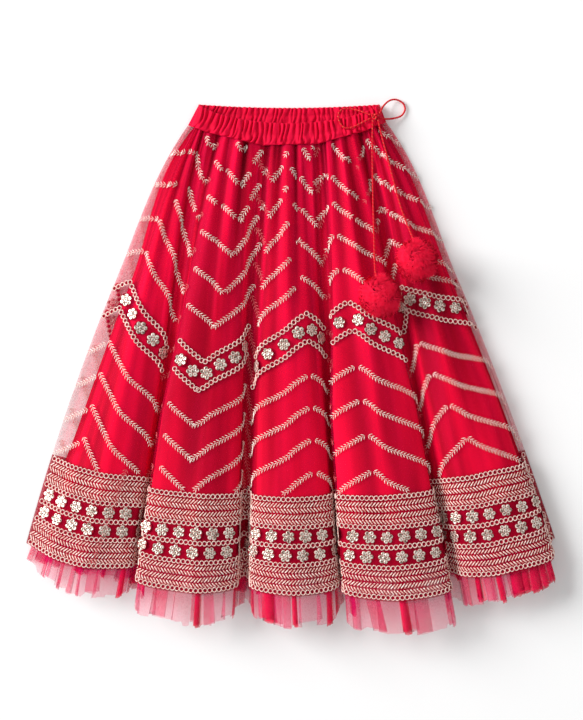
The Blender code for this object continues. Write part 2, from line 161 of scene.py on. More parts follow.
# Creases: s at the waist and at its end, where it starts and ends, half width, height
CREASES = np.array([
    (0.16, 0.13, 0, 0.34, 0.04, 1.5), (0.3, 0.34, 0, 0.62, 0.05, -2.2), (0.42, 0.52, 0.05, 0.8, 0.06, 1.5),
    (0.55, 0.62, 0, 0.4, 0.04, -1.8), (0.7, 0.8, 0, 0.74, 0.055, 1.8), (0.84, 0.9, 0.02, 0.55, 0.045, -2.0),
    (1.06, 1.1, 0, 0.3, 0.04, 1.6), (1.2, 1.22, 0, 0.66, 0.05, -2.4), (1.34, 1.36, 0, 0.36, 0.045, 1.8),
    (1.46, 1.42, 0.08, 0.86, 0.05, -1.7), (1.58, 1.52, 0, 0.52, 0.055, 2), (1.71, 1.66, 0, 0.7, 0.045, -2.6),
    (1.84, 1.8, 0.04, 0.44, 0.04, 1.6), (2.08, 2.12, 0, 0.48, 0.05, -2.2), (2.22, 2.28, 0, 0.3, 0.04, 1.6),
    (2.33, 2.38, 0, 0.78, 0.05, -2.0), (2.47, 2.49, 0.03, 0.58, 0.055, 1.8), (2.61, 2.6, 0, 0.42, 0.04, -2.4),
    (2.74, 2.7, 0.1, 0.88, 0.055, -1.6), (2.88, 2.86, 0, 0.36, 0.04, 1.7), (3.08, 3.12, 0, 0.6, 0.045, -2.2),
    (3.2, 3.27, 0, 0.32, 0.04, 1.6), (3.33, 3.4, 0, 0.72, 0.05, -2.1), (3.48, 3.52, 0.06, 0.5, 0.05, 1.8),
    (3.6, 3.66, 0, 0.84, 0.055, -1.8), (3.76, 3.78, 0, 0.4, 0.04, 1.8), (3.9, 3.9, 0, 0.58, 0.045, -2.4),
    (4.12, 4.18, 0, 0.46, 0.04, 1.5), (4.27, 4.34, 0, 0.76, 0.05, -2.0), (4.4, 4.46, 0.04, 0.38, 0.045, 1.6),
    (4.56, 4.6, 0, 0.64, 0.05, -2.0), (4.72, 4.74, 0, 0.5, 0.045, 1.4), (4.86, 4.85, 0.02, 0.34, 0.04, -1.2),
])
# Small gathers at the waist seam: place, half width, length, height
GATHER_COUNT = 34
GATHERS = np.array([
    ((i + 0.5) / GATHER_COUNT * FOLDS + rng.uniform(-0.04, 0.04), rng.uniform(0.02, 0.034),
     rng.uniform(0.06, 0.2), rng.uniform(-2.0, 1.6))
    for i in range(GATHER_COUNT)
])
GATHER_STRENGTH, CREASE_STRENGTH = 1.2, 1.35


def creases(s, v):
    """How far the cloth stands off the CAD's smooth form."""
    total = np.zeros(np.broadcast(s, v).shape)
    inside = np.clip(v, 0, 1)
    for place, width, length, height in GATHERS:
        share = np.clip(1 - inside / length, 0, 1)
        total = total + GATHER_STRENGTH * height * np.exp(-(((s - place) / width) ** 2)) * share**0.8
    for top, foot, start, end, width, height in CREASES:
        run = (inside - start) / (end - start)
        middle = top + (foot - top) * np.clip(run, 0, 1)
        fade = np.clip(1 - run, 0, 1) ** 0.7 * np.clip(1 + run * 8, 0, 1)
        total = total + height * fade * np.exp(-(np.abs(s - middle) / (width * (1 + 0.6 * inside))) ** 1.6)
    t = s - np.floor(np.minimum(s, FOLDS - 1e-6))
    swell = np.clip(v / 0.3, 0, 1) * np.sin(PI * t) ** 2
    total = total + swell * 0.8 * np.sin(2 * PI * (2.6 * s + 0.25 * np.sin(5 * v + 2 * s)))
    edge = np.clip(np.minimum(s, FOLDS - s) / 0.12, 0, 1)
    return CREASE_STRENGTH * total * edge


def skin(s, v):
    """The net's surface with its gathers and creases, in the row frame."""
    place = outer(s, v) + cad_normal(s, v) * creases(s, v)[..., None] + PLAN_SHIFT
    place[..., 2] = np.maximum(place[..., 2], LOWEST_NET)
    return place


def inner(s, v):
    """The lining's surface."""
    s, v = np.broadcast_arrays(np.asarray(s, float), np.asarray(v, float))
    ease = np.clip(np.minimum(s, FOLDS - s) / 0.15, 0, 1)
    place = outer(s, v) - cad_normal(s, v) * (INNER_DEPTH * ease)[..., None]
    place[..., 2] += 1 - ease
    # the lining comes nearer to the net's left edge than its solid does
    fuller = 6.0 * hip(v) + 5.0 * np.sin(PI * np.clip(v / 0.75, 0, 1))
    to_left = down(LINING_LEFT, v) - down(NET_LEFT, v) - fuller[..., None] * (1.0, 0.0)
    to_right = down(LINING_RIGHT, v) - down(NET_RIGHT, v)
    place[..., :2] += to_left * (np.clip(1 - s * 2, 0, None) ** 1.5)[..., None]
    place[..., :2] += to_right * (np.clip(1 - (FOLDS - s) * 2, 0, None) ** 1.5)[..., None]
    return place + PLAN_SHIFT


def back(left, right, share, v, z):
    share, v = np.broadcast_arrays(np.asarray(share, float), np.asarray(v, float))
    a, b = down(left, v), down(right, v)
    place = a + (b - a) * share[..., None]
    y = place[..., 1] - down(BACK_SAG, v) * 4 * share * (1 - share)
    x = place[..., 0] + (HIP_SWELL[0] + (HIP_SWELL[1] - HIP_SWELL[0]) * share) * hip(v)
    return np.stack([x, y, np.broadcast_to(z, share.shape)], -1) + PLAN_SHIFT


def shader(name, colour, roughness=0.6, metallic=0.0, sheen=0.0, specular=0.03):
    made = bpy.data.materials.new(name)
    made.use_nodes = True
    node = made.node_tree.nodes["Principled BSDF"]
    node.inputs["Base Color"].default_value = (*colour, 1)
    node.inputs["Roughness"].default_value = roughness
    node.inputs["Metallic"].default_value = metallic
    node.inputs["Specular IOR Level"].default_value = specular
    node.inputs["Sheen Weight"].default_value = sheen
    node.inputs["Sheen Tint"].default_value = (1.0, 0.25, 0.3, 1)
    return made, made.node_tree, node


def add(tree, kind, **values):
    """A shader node with the values of its inputs, each by its name with _ for a space."""
    node = tree.nodes.new("ShaderNode" + kind)
    for name, value in values.items():
        node.inputs[name.replace("_", " ")].default_value = value
    return node


def object_place(tree):
    return add(tree, "TexCoord").outputs["Object"]


def sheet_map(tree):
    node = add(tree, "UVMap")
    node.uv_map = SHEET_MAP
    return node.outputs["UV"]


def stretched(tree, place, scale):
    node = add(tree, "Mapping", Scale=scale)
    tree.links.new(place, node.inputs["Vector"])
    return node.outputs["Vector"]


def noise(tree, scale, detail, place=None):
    node = add(tree, "TexNoise", Scale=scale, Detail=detail)
    tree.links.new(object_place(tree) if place is None else place, node.inputs["Vector"])
    return node.outputs["Fac"]


def painted_fold_shade(tree, across, along):
    """Painted light and shade of soft folds: noise drawn out from the waist to the hem, by the sheet's own
    map.
    """
    return noise(tree, 1.0, 2.5, stretched(tree, sheet_map(tree), (across, along, 1)))


def ramp(tree, value, stops):
    node = add(tree, "ValToRGB")
    while len(node.color_ramp.elements) < len(stops):
        node.color_ramp.elements.new(0.5)
    for element, (place, colour) in zip(node.color_ramp.elements, stops):
        element.position = place
        element.color = (*colour, 1)
    tree.links.new(value, node.inputs["Fac"])
    return node.outputs["Color"]


def bump(tree, node, height, distance, strength):
    made = add(tree, "Bump", Distance=distance, Strength=strength)
    tree.links.new(height, made.inputs["Height"])
    tree.links.new(made.outputs["Normal"], node.inputs["Normal"])


def with_painted_shade(tree, colour):
    """The colour with painted shade: darker in the cloth's troughs and valleys, by the depth each point
    holds.
    """
    depth = add(tree, "Attribute")
    depth.attribute_name = "depth"
    stops = [(0.0, (0.36, 0.2, 0.3)), (0.5, (0.86, 0.8, 0.84)), (0.8, (1.0, 1.0, 1.0))]
    shade = ramp(tree, depth.outputs["Fac"], stops)
    mix = add(tree, "Mix")
    mix.data_type = "RGBA"
    mix.blend_type = "MULTIPLY"
    mix.inputs["Factor"].default_value = 1.0
    tree.links.new(colour, mix.inputs["A"])
    tree.links.new(shade, mix.inputs["B"])
    return mix.outputs["Result"]


def net_material(name, bright, dark, hole, thread, cell, across, fuller=(1.0, 1.0)):
    """Net: a fine mesh of threads, more see-through in its holes and, where it is fuller, less so."""
    made, tree, node = shader(name, bright, 0.8)
    mesh = add(tree, "TexVoronoi", Scale=1 / cell)
    mesh.feature = "DISTANCE_TO_EDGE"
    tree.links.new(object_place(tree), mesh.inputs["Vector"])
    alpha = ramp(tree, mesh.outputs["Distance"], [(0.04, (thread,) * 3), (0.16, (hole,) * 3)])
    split = add(tree, "SeparateXYZ")
    tree.links.new(sheet_map(tree), split.inputs["Vector"])
    fullness = add(tree, "MapRange", To_Min=fuller[0], To_Max=fuller[1])
    tree.links.new(split.outputs["Y"], fullness.inputs["Value"])
    denser = add(tree, "Math")
    denser.operation = "MULTIPLY"
    tree.links.new(alpha, denser.inputs[0])
    tree.links.new(fullness.outputs["Result"], denser.inputs[1])
    tree.links.new(denser.outputs["Value"], node.inputs["Alpha"])
    # Streaks between dark and bright: painted shade and light of soft folds along the net.
    tint = ramp(tree, painted_fold_shade(tree, across, 1.5), [(0.38, dark), (0.58, bright)])
    tree.links.new(with_painted_shade(tree, tint), node.inputs["Base Color"])
    return made


def satin_material(name, colour, roughness, specular, fold_shaded, stops, weave):
    made, tree, node = shader(name, colour, roughness, specular=specular)
    # For the lining, streaks of painted light and shade as on soft folds; for the waistband, a colour that
    # varies a little at random.
    tint = ramp(tree, painted_fold_shade(tree, 34, 1.1) if fold_shaded else noise(tree, 60, 3), stops)
    tree.links.new(with_painted_shade(tree, tint), node.inputs["Base Color"])
    bump(tree, node, noise(tree, weave, 2), 0.0003, 0.3)
    return made


CELL, FRILL_CELL = 0.0013, 0.0011
net = net_material("net", (0.93, 0.006, 0.085), (0.46, 0.001, 0.03), 0.12, 0.46, CELL, 46, (0.5, 1.45))
net_border = net_material("border", (0.46, 0.002, 0.026), (0.34, 0.001, 0.018), 0.45, 0.8, CELL, 90)
frill_net = net_material("frill", (0.88, 0.014, 0.15), (0.84, 0.01, 0.1), 0.19, 0.42, FRILL_CELL, 40)
frill_bunch = net_material("frill_bunch", (0.92, 0.01, 0.085), (0.8, 0.006, 0.06), 0.4, 0.7, FRILL_CELL, 40)
satin = satin_material(
    "lining", (1.0, 0.003, 0.042), 0.6, 0.05, True,
    [(0.4, (0.5, 0.001, 0.018)), (0.57, (1.0, 0.003, 0.042))], 2600)
band_satin = satin_material(
    "waistband", (0.8, 0.006, 0.05), 0.55, 0.03, False,
    [(0.3, (0.7, 0.004, 0.036)), (0.7, (0.84, 0.007, 0.052))], 2200)


FIBRE = 3600


def mottled(name, colour, roughness, scale, stops, detail=2, fibre=0, **looks):
    """A colour that varies in spots as small as 1 / scale, with a fine grain where fibre gives one."""
    made, tree, node = shader(name, colour, roughness, **looks)
    tree.links.new(ramp(tree, noise(tree, scale, detail), stops), node.inputs["Base Color"])
    if fibre:
        bump(tree, node, noise(tree, fibre, 2), 0.0002, 0.5)
    return made


# The stitch threads run in small random spots from a shaded to a lit tone: painted shade and glints over
# their own pale pink.
thread = mottled(
    "thread", (0.9, 0.66, 0.58), 0.5, 700,
    [(0.34, (0.68, 0.34, 0.3)), (0.47, (0.96, 0.7, 0.6)), (0.6, (1.0, 0.96, 0.9))],
    fibre=FIBRE, specular=0.35)
braid = mottled(
    "braid_thread", (0.86, 0.5, 0.42), 0.5, 500,
    [(0.34, (0.6, 0.2, 0.17)), (0.5, (0.95, 0.58, 0.5)), (0.64, (1.0, 0.93, 0.86))],
    fibre=FIBRE, specular=0.3)
pale_thread = mottled(
    "chain_thread", (0.9, 0.64, 0.56), 0.5, 600,
    [(0.32, (0.6, 0.24, 0.22)), (0.5, (0.9, 0.6, 0.53)), (0.68, (1.0, 0.88, 0.8))],
    fibre=FIBRE, specular=0.35)
# Red for the net over the valley stitches, and darker as painted shade of the valleys; the panel seam is sewn
# with it as red thread.
veiled_thread = mottled(
    "veiled_thread", (0.62, 0.1, 0.12), 0.7, 700, [(0.3, (0.6, 0.03, 0.06)), (0.7, (0.72, 0.2, 0.2))])
# Painted shade, near black red: the floors of the chain rings' and sequins' holes and the disc under each
# flower.
stitch_shade = mottled(
    "painted_stitch_shade", (0.24, 0.004, 0.018), 0.8, 900,
    [(0.3, (0.16, 0.002, 0.01)), (0.7, (0.36, 0.004, 0.02))], specular=0.05)
# The sequins run in spots from near black to white: painted reflections and glints on their cream metal.
sequin = mottled(
    "sequin", (0.9, 0.85, 0.75), 0.32, 330,
    [(0.36, (0.13, 0.12, 0.09)), (0.48, (0.58, 0.54, 0.44)), (0.62, (1.0, 0.95, 0.85))],
    metallic=0.7, specular=0.5)
fluff = mottled(
    "pompom", (1.0, 0.014, 0.055), 0.9, 260,
    [(0.3, (0.96, 0.006, 0.042)), (0.7, (1.0, 0.022, 0.075))], detail=3, sheen=0.6, specular=0.0)
fluff.node_tree.nodes["Principled BSDF"].inputs["Sheen Tint"].default_value = (1.0, 0.06, 0.12, 1)
cord_red = mottled(
    "drawstring", (0.72, 0.008, 0.03), 0.6, 1500, [(0.3, (0.62, 0.003, 0.02)), (0.7, (0.84, 0.02, 0.04))])
cord_gold = mottled(
    "drawstring_gold", (0.7, 0.2, 0.1), 0.5, 1500, [(0.4, (0.6, 0.03, 0.03)), (0.72, (0.8, 0.28, 0.15))],
    metallic=0.2)


def make(name, points, polygons, materials, slot, uv=None, which=None):
    """A mesh object from points in millimetres and equal-sided polygons."""
    points = np.asarray(points, float).reshape(-1, 3) * MM
    polygons = np.asarray(polygons, int)
    sides = polygons.shape[1]
    mesh = bpy.data.meshes.new(name)
    mesh.vertices.add(len(points))
    mesh.vertices.foreach_set("co", points.ravel())
    mesh.loops.add(polygons.size)
    mesh.loops.foreach_set("vertex_index", polygons.ravel())
    mesh.polygons.add(len(polygons))
    mesh.polygons.foreach_set("loop_start", np.arange(len(polygons)) * sides)
    mesh.polygons.foreach_set("loop_total", np.full(len(polygons), sides))
    mesh.polygons.foreach_set("use_smooth", np.full(len(polygons), True))
    for material in materials:
        mesh.materials.append(material)
    if which is not None:
        mesh.polygons.foreach_set("material_index", np.asarray(which, int))
    if uv is not None:
        layer = mesh.uv_layers.new(name=SHEET_MAP)
        layer.data.foreach_set("uv", np.asarray(uv, float)[polygons.ravel()].ravel())
    mesh.update(calc_edges=True)
    mesh.validate()
    made = bpy.data.objects.new(name, mesh)
    bpy.context.scene.collection.objects.link(made)
    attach(made, "root")
    return made


def grid_faces(rows, columns, ring=False):
    r, c = np.meshgrid(np.arange(rows - 1), np.arange(columns if ring else columns - 1), indexing="ij")
    d = (c + 1) % columns
    a, b = r * columns + c, r * columns + d
    return np.stack([a, a + columns, b + columns, b], -1).reshape(-1, 4)


def grid_uv(rows, columns):
    u, v = np.meshgrid(np.linspace(0.005, 0.995, columns), np.linspace(0.995, 0.005, rows))
    return np.stack([u, v], -1).reshape(-1, 2)


def set_painted_shade(piece, depth):
    """The depth that sets the painted shade in the cloth's colour: a value for each point, or one for all."""
    values = np.empty(len(piece.data.vertices))
    values[:] = np.ravel(depth)
    piece.data.attributes.new("depth", "FLOAT", "POINT").data.foreach_set("value", values)


def sheet(name, points, material, slot, depth=0.62):
    size = points.shape[:2]
    made = make(name, points, grid_faces(*size), [material], slot, uv=grid_uv(*size))
    set_painted_shade(made, depth)
    return made


def repeated(faces, points, times):
    """The faces of each of many copies of a shape with that many points."""
    faces = np.asarray(faces, int)
    return (faces[None] + (np.arange(times) * points)[:, None, None]).reshape(-1, faces.shape[1])


def stamp(name, shape, faces, places, along, up, materials, slot, which=None, scale=None):
    """Many copies of a small shape, each turned so that its x is along and its z is up."""
    along = unit(along - up * (along * up).sum(-1, keepdims=True))
    side = np.cross(up, along)
    shape = np.asarray(shape, float)
    scale = np.ones((len(places), 1)) if scale is None else scale.reshape(len(places), -1)
    local = shape[None] * scale[:, None, :]
    points = places[:, None] + local[..., :1] * along[:, None] + local[..., 1:2] * side[:, None]
    points = points + local[..., 2:] * up[:, None]
    points[..., 2] = np.maximum(points[..., 2], LOWEST_STITCH)
    polygons = repeated(faces, len(shape), len(places))
    kinds = None if which is None else np.tile(which, len(places))
    return make(name, points, polygons, materials, slot, which=kinds)


REACH = 0.6  # how far before and behind a place the line's direction is taken


def walk(surface, s, v, pitch, fit=False):
    """Places at an even pitch along a line on a surface: the places, directions and normals."""
    line = surface(s, v)
    steps = np.linalg.norm(np.diff(line, axis=0), axis=1)
    travelled = np.concatenate([[0], np.cumsum(steps)])
    if fit:
        pitch = travelled[-1] / max(1, round(travelled[-1] / pitch))
    stations = np.arange(pitch / 2, travelled[-1], pitch)
    if len(stations) == 0:
        empty = np.zeros((0, 3))
        return empty, empty, empty

    def at(distance):
        return np.interp(distance, travelled, s), np.interp(distance, travelled, v)

    ahead = surface(*at(np.minimum(stations + REACH, travelled[-1])))
    behind = surface(*at(np.maximum(stations - REACH, 0)))
    return surface(*at(stations)), unit(ahead - behind), normals_of(surface, *at(stations), 0.004)


# Leaf stitch: a slim lozenge with a ridge, its root at 0 and its tip at x = 1
LEAF = np.array([
    (0, 0, 0), (0.5, -0.095, 0), (1, 0, 0.02), (0.5, 0.095, 0), (0.3, 0, 0.14), (0.7, 0, 0.14),
])
LEAF_FACES = [(0, 1, 4), (1, 5, 4), (1, 2, 5), (0, 4, 3), (4, 5, 3), (5, 2, 3)]
# Satin stitch: a bar with blunt ends and a ridge, 1 long, 1 wide and 1 high
BAR = np.array([
    (0, 0, 0), (0.14, -0.5, 0), (0.86, -0.5, 0), (1, 0, 0), (0.86, 0.5, 0), (0.14, 0.5, 0),
    (0.2, 0, 1), (0.8, 0, 1),
])
BAR_FACES = [(0, 1, 6), (1, 2, 7), (1, 7, 6), (2, 3, 7), (3, 4, 7), (4, 5, 6), (4, 6, 7), (5, 0, 6)]


def dish(base, sides, rim, wall, floor):
    """The faces of four rings of points round a middle one, and the material of each."""
    faces, kinds = [], []
    for i in range(sides):
        j = (i + 1) % sides
        for k in range(3):
            a, b = base + k * sides + i, base + k * sides + j
            faces += [(a, b, b + sides), (a, b + sides, a + sides)]
            kinds += [wall if k else rim] * 2
        faces.append((base + 3 * sides + i, base + 3 * sides + j, base + 4 * sides))
        kinds.append(floor)
    return faces, kinds


def ring_shape(long, wide, bore, height, sides=10):
    """One loop of chain stitch: a raised ring round a hole floored with painted shade, four points across its
    section.
    """
    turn = np.linspace(0, 2 * PI, sides, endpoint=False)
    circle = np.stack([np.cos(turn), np.sin(turn)], -1)
    rows = ((1.0, 0.0, 0.0), (0.75, 0.25, height), (0.3, 0.7, height), (0.0, 1.0, 0.12))
    points = []
    for outside, inside, z in rows:
        spread = (outside * long + inside * bore, outside * wide + inside * bore)
        points.append(np.column_stack([circle * spread / 2, np.full(sides, z)]))
    points = np.concatenate([*points, [(0, 0, 0.1)]])
    return points, *dish(0, sides, 0, 0, 1)


def flower_shape(ground, radius=7.5, petal=2.5, sides=9):
    """Six sequins round a seventh, each a shallow dish with a thread rim and a hole floored with painted
    shade, on a disc of painted shade.
    """
    turn = np.linspace(0, 2 * PI, sides, endpoint=False)
    points, faces, kinds = [], [], []
    # the disc of painted shade under the flower, on the front only
    if ground:
        wide = radius + 0.7
        points = [(wide * np.cos(a), wide * np.sin(a), 0.06) for a in turn] + [(0.0, 0.0, 0.06)]
        faces = [(i, (i + 1) % sides, sides) for i in range(sides)]
        kinds = [2] * sides
    centres = [(0.0, 0.0)] + [
        ((radius - petal) * np.cos(a), (radius - petal) * np.sin(a)) for a in np.arange(6) * PI / 3 + PI / 6
    ]
    for number, (x, y) in enumerate(centres):
        base = len(points)
        lift = 0.3 if number == 0 else 0.0
        for r, z in ((petal, 0.1), (petal * 0.88, 0.8), (petal * 0.66, 0.7), (petal * 0.26, 0.42)):
            points += [(x + r * np.cos(a), y + r * np.sin(a), z + lift) for a in turn]
        points.append((x, y, 0.38 + lift))
        more_faces, more_kinds = dish(base, sides, 1, 0, 2)
        faces += more_faces
        kinds += more_kinds
    return np.array(points), faces, kinds


# The zigzag lines, arm by arm from the left. Each has its first s and drop and its last s and drop at
# four levels down the skirt. A drop says how far below the line's peaks that end lies.
LEVELS = (0.05, 0.2, 0.4, 0.75)
ARMS = np.array([
    ((0, 0.02, 0.78, 0), (0, 0.012, 0.42, 0), (0, 0.03, 0.18, 0), (0, 0.05, 0.26, 0)),
    ((0.78, 0.07, 1.18, 0.14), (0.42, 0, 1.1, 0.145), (0.18, -0.005, 0.9, 0.12), (0.26, -0.015, 0.72, 0.132)),
    ((1.25, 0.085, 1.72, 0.13), (1.27, 0.08, 1.58, 0.133),
     (1.27, 0.09, 1.42, 0.137), (1.29, 0.07, 1.42, 0.127)),
    ((1.72, 0.125, 2.12, 0), (1.62, 0.13, 2.1, 0), (1.42, 0.137, 1.95, 0.045), (1.42, 0.127, 1.93, 0)),
    ((2.22, 0.12, 2.48, 0.045), (2.2, 0.11, 2.52, 0.045), (2.04, 0.12, 2.66, 0.015), (2.04, 0.12, 2.66, 0)),
    ((2.5, 0, 2.82, 0.055), (2.57, 0, 2.95, 0.055), (2.66, 0.014, 2.95, 0.05), (2.67, 0, 2.97, 0.055)),
    ((2.84, 0.055, 3.12, 0.015), (3.03, 0.03, 3.27, 0), (3.2, 0.03, 3.38, 0), (3.27, 0.045, 3.43, 0)),
    ((3.12, 0.015, 3.6, 0.09), (3.28, 0, 3.82, 0.085), (3.39, 0, 3.8, 0.085), (3.43, 0, 3.9, 0.108)),
    ((3.83, 0.08, 3.95, 0.045), (3.92, 0.075, 4.08, 0.035),
     (4.0, 0.02, 4.1, -0.02), (4.05, 0.065, 4.47, -0.028)),
    ((3.97, 0.05, 5.0, 0.165), (4.05, 0.04, 5.0, 0.16), (4.1, -0.02, 5.0, 0.06), (4.47, -0.028, 5.0, 0.115)),
])
# The stretches that lie deep in the valleys and show only as red on red
VEILED_ARMS = np.array([
    ((1.18, 0.14, 1.28, 0.125), (1.18, 0.14, 1.28, 0.125), (0.92, 0.125, 1.2, 0.1), (0.82, 0.13, 1.27, 0.07)),
    ((1.95, 0.06, 2.16, 0.1), (1.98, 0.05, 2.16, 0.09), (1.95, 0.045, 2.04, 0.11), (1.93, 0, 2.04, 0.11)),
    ((2.95, 0.06, 3.03, 0.03), (2.96, 0.06, 3.03, 0.03), (2.96, 0.055, 3.2, 0.08), (2.97, 0.055, 3.26, 0.1)),
    ((3.7, 0.1, 3.83, 0.08), (3.82, 0.09, 3.92, 0.075), (3.82, 0.085, 4.0, 0.12), (3.91, 0.11, 4.04, 0.16)),
])
LEAF_ROWS = (-0.11, -0.03, 0.05, 0.132, 0.218, 0.297, 0.52, 0.595, 0.67, 0.745)
BAND_CHAINS = (0.376, 0.440)
BORDER_CHAINS = (0.035, 0.32, 0.51, 0.70, 0.965)
BORDER_FLOWERS = ((0.415, 20.0), (0.605, 20.4))  # each row with its pitch
BAND_FLOWER_PITCH, BAND_CHAIN_PITCH, BORDER_CHAIN_PITCH, LEAF_PITCH, HERRING_PITCH = 20.5, 5.8, 5.5, 3.9, 3.9
LEAF_LENGTHS, LEAF_SPREAD = (4.7, 5.8), 0.8
SEAM_AT = (0.65, 0.57)
EDGE = 0.004  # what stays free of stitches at the net's ends, as a share of the length
# Herringbone half rows of the border: place, width, slant
HERRINGBONE = (
    (0.098, 6.0, 1), (0.152, 6.0, -1), (0.215, 6.4, 1), (0.268, 5.6, -1),
    (0.755, 5.4, 1), (0.806, 5.6, -1), (0.864, 6.4, 1), (0.918, 5.4, -1),
)


def stretches(s, v, keep):
    """The parts of a line where keep holds, each with four points or more."""
    edges = np.flatnonzero(np.diff(np.concatenate([[0], keep.astype(int), [0]])))
    for a, b in zip(edges[::2], edges[1::2]):
        if b - a > 3:
            yield s[a:b], v[a:b]


def zigzag_runs(level, arms=ARMS):
    """The stretches of one zigzag line that show on the net, each from a peak downwards."""
    for arm in arms:
        a, drop_a, b, drop_b = (np.interp(level, LEVELS, arm[:, i]) for i in range(4))
        if b - a < 0.03:
            continue
        s = np.linspace(max(a, 0.02), min(b, FOLDS - 0.02), 160)
        drop = drop_a + (drop_b - drop_a) * (s - a) / (b - a)
        # the gathers at the waist break the line into short pieces that don't quite meet
        gather = (s * 4.3 + 0.4 * np.sin(3 * s) + 0.35) % 1.0
        fade = np.clip(1 - (level + drop) / 0.26, 0, 1) * np.clip(2 * s - 0.6, 0, 1)
        v = level + drop + 0.018 * fade * (gather - 0.5)
        keep = (v > EDGE) & (v < BORDER - EDGE) & ((gather > 0.14) | (fade < 0.25))
        if drop_a > drop_b:
            s, v, keep = s[::-1], v[::-1], keep[::-1]
        yield from stretches(s, v, keep)


def gathered(parts):
    parts = [part for part in parts if len(part[0])]
    return tuple(np.concatenate([part[i] for part in parts]) for i in range(3))


def leaves(name, surface, lines, lift, press, material):
    """Two rows of leaf stitches that meet in a rib along each line."""
    places, along, up = gathered([walk(surface, s, v, LEAF_PITCH) for s, v in lines])
    side = np.cross(up, along)
    places, along, up = gathered([
        (places + along * forward, along * np.cos(angle) + side * np.sin(angle), up)
        for angle, forward in ((LEAF_SPREAD, 0.0), (-LEAF_SPREAD, 0.0), (0.0, 0.4))
    ])
    size = rng.uniform(*LEAF_LENGTHS, len(places))[:, None] * (1, 1.15, press)
    size[2 * len(places) // 3:, 1] *= 0.7
    return stamp(name, LEAF, LEAF_FACES, places + up * lift, along, up, [material], "border", scale=size)


def embroider(surface, mark, lift, press, runs, border_line):
    """The embroidery of one side of the skirt, front or back. Press flattens what lies on the floor."""
    def lines_at(levels):
        return [line for level in levels for line in runs(level)]

    def sew(name, shape, faces, places, along, up, materials, **more):
        return stamp(name + mark, shape, faces, places + up * lift, along, up, materials, "border", **more)

    def chain(name, lines, pitch):
        line = gathered([walk(surface, s, v, pitch) for s, v in lines])
        return sew(name, ring, ring_faces, *line, [pale_thread, stitch_shade], which=ring_kinds)

    ring, ring_faces, ring_kinds = ring_shape(6.1, 6.5, 4.2, 0.95 * press)
    sewn = [leaves("leaf_stitches" + mark, surface, lines_at(LEAF_ROWS), lift, press, thread)]
    sewn.append(chain("band_chains", lines_at(BAND_CHAINS), BAND_CHAIN_PITCH))
    sewn.append(chain("border_chains", [border_line(share) for share in BORDER_CHAINS], BORDER_CHAIN_PITCH))

    flower, flower_faces, kinds = flower_shape(press == 1.0)
    flowers = [walk(surface, *border_line(share), pitch) for share, pitch in BORDER_FLOWERS]
    band = [(s, v) for s, v in runs(sum(BAND_CHAINS) / 2) if s.max() > 0.3]
    flowers += [walk(surface, s, v, BAND_FLOWER_PITCH, fit=True) for s, v in band]
    places, along, up = gathered(flowers)
    turn = rng.uniform(0, PI, len(places))[:, None]
    along = along * np.cos(turn) + np.cross(up, along) * np.sin(turn)
    size = rng.uniform(0.93, 1.05, len(places))[:, None] * (1, 1, press)
    sewn.append(sew("sequin_flowers", flower, flower_faces, places, along, up,
                    [sequin, pale_thread, stitch_shade], which=kinds, scale=size))

    stitches = []
    for share, width, slant in HERRINGBONE:
        places, along, up = walk(surface, *border_line(share), HERRING_PITCH)
        heading = along * 0.66 + np.cross(up, along) * 0.75 * slant
        stitches.append((places - heading * width * 0.62, heading * width * 1.24, up))
    places, heading, up = gathered(stitches)
    size = np.linalg.norm(heading, axis=1)[:, None] * (1, 0, 0) + (0, 1.4, 0.9 * press)
    sewn.append(sew("herringbone", BAR, BAR_FACES, places, unit(heading), up, [braid], scale=size))
    return sewn


def border_lines(margin, count):
    """Gives the line along the border at any share of its depth."""
    s = np.linspace(margin, FOLDS - margin, count)
    return lambda share: (s, np.full(count, BORDER + (1 - BORDER) * share))


def columns(per_fold):
    i = np.arange(per_fold * FOLDS + 1) / per_fold
    fold = np.minimum(np.floor(i), FOLDS - 1)
    t = i - fold
    return fold + t - 0.45 * np.sin(2 * PI * t) / (2 * PI)


def painted_shade_of(s, v):
    """Painted shade as a lightness: 1 on the ridges, 0.5 on the smooth cloth and 0 deep in the troughs and
    between the folds, darker still just under the waistband.
    """
    valleys = np.exp(-(((s - np.round(s)) / 0.085) ** 2)) * ((s > 0.5) & (s < FOLDS - 0.5))
    shade_under_band = 0.2 * np.exp(-v / 0.03)
    return np.clip(0.6 + creases(s, v) / 6.5 - 0.35 * valleys * np.clip(0.3 + v, 0, 1) - shade_under_band, 0, 1)


ACROSS = columns(64)
NET_ROWS, BORDER_ROWS, LINING_ROWS = 72, 20, 60
LINING_FOLLOWS, LINING_SINKS = 0.75, 0.3  # its share of the net's creases, and how much lower it lies
s_net, v_net = np.meshgrid(ACROSS, np.linspace(0.0, BORDER - SEAM_GAP, NET_ROWS))
net_front = sheet("net_front_cloth", skin(s_net, v_net), net, "net", painted_shade_of(s_net, v_net))
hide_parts("net_front")
s_border, v_border = np.meshgrid(ACROSS, np.linspace(BORDER + SEAM_GAP, 1.0, BORDER_ROWS))
border_shade = painted_shade_of(s_border, v_border)
border_front = sheet("border_front_cloth", skin(s_border, v_border), net_border, "border", border_shade)
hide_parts("border_front")
s_lining, v_lining = np.meshgrid(ACROSS, np.linspace(0.0, LINING_END, LINING_ROWS))
lining_points = inner(s_lining, v_lining)
lining_lift = LINING_FOLLOWS * creases(s_lining, v_lining) - LINING_SINKS
lining_points += cad_normal(s_lining, v_lining) * lining_lift[..., None]
lining_points[..., 2] = np.maximum(lining_points[..., 2], LOWEST_LINING)
lining_front = sheet("lining_front_cloth", lining_points, satin, "lining", painted_shade_of(s_lining, v_lining))
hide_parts("lining_front")

